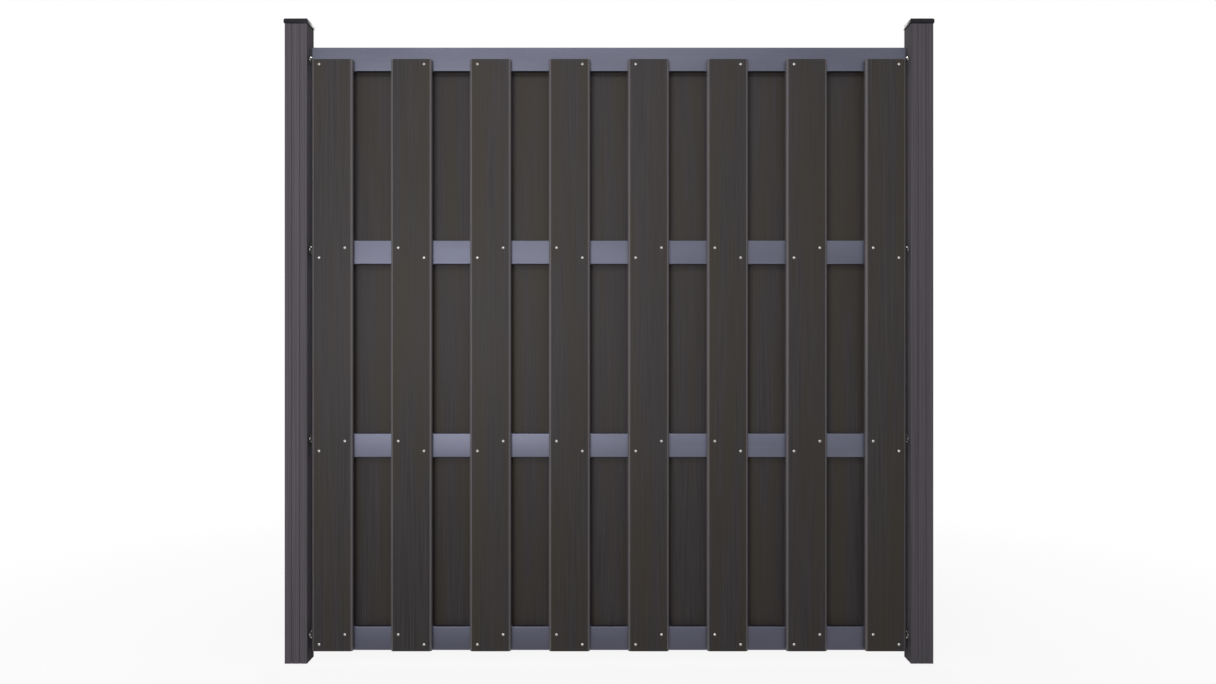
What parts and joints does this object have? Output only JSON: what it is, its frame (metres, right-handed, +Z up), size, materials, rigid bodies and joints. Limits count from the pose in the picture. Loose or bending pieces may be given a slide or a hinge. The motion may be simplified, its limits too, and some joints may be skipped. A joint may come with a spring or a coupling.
{
  "type": "garden privacy screen",
  "caption": "Garden privacy screen: upright round-edged boards screwed to both sides of aluminium rails between square capped posts, overlapping to block the view.",
  "frame": {"origin": "on the ground, midway between the posts and in the middle of their depth", "axes": "+Z up, +X along the screen to the right seen from the front, the front faces -Y"},
  "size_m": [1.9654, 0.073, 1.95],
  "materials": {
    "post_composite": "matt extruded wood-plastic composite, grooved",
    "board_composite": "matt brushed wood-plastic composite",
    "cap_plastic": "satin moulded plastic",
    "rail_aluminium": "satin anodised",
    "plug_plastic": "moulded black plastic",
    "bracket_steel": "stainless, punched and bent",
    "screw_steel": "stainless, bright"
  },
  "bodies": {
    "root": {"post_left": "post_composite", "post_cap_left": "cap_plastic", "post_right": "post_composite", "post_cap_right": "cap_plastic", "front_board_1": "board_composite", "front_board_2": "board_composite", "front_board_3": "board_composite", "front_board_4": "board_composite", "front_board_5": "board_composite", "front_board_6": "board_composite", "front_board_7": "board_composite", "front_board_8": "board_composite", "back_board_1": "board_composite", "back_board_2": "board_composite", "back_board_3": "board_composite", "back_board_4": "board_composite", "back_board_5": "board_composite", "back_board_6": "board_composite", "back_board_7": "board_composite", "rail_1": "rail_aluminium", "rail_2": "rail_aluminium", "rail_3": "rail_aluminium", "rail_4": "rail_aluminium", "rail_plug_left_1": "plug_plastic", "rail_plug_left_2": "plug_plastic", "rail_plug_left_3": "plug_plastic", "rail_plug_left_4": "plug_plastic", "rail_plug_right_1": "plug_plastic", "rail_plug_right_2": "plug_plastic", "rail_plug_right_3": "plug_plastic", "rail_plug_right_4": "plug_plastic", "bracket_left_1": "bracket_steel", "bracket_left_2": "bracket_steel", "bracket_left_3": "bracket_steel", "bracket_left_4": "bracket_steel", "bracket_right_1": "bracket_steel", "bracket_right_2": "bracket_steel", "bracket_right_3": "bracket_steel", "bracket_right_4": "bracket_steel", "front_board_screws": "screw_steel", "back_board_screws": "screw_steel", "bracket_rail_screws": "screw_steel", "bracket_post_screws": "screw_steel"}
  },
  "joints": []
}
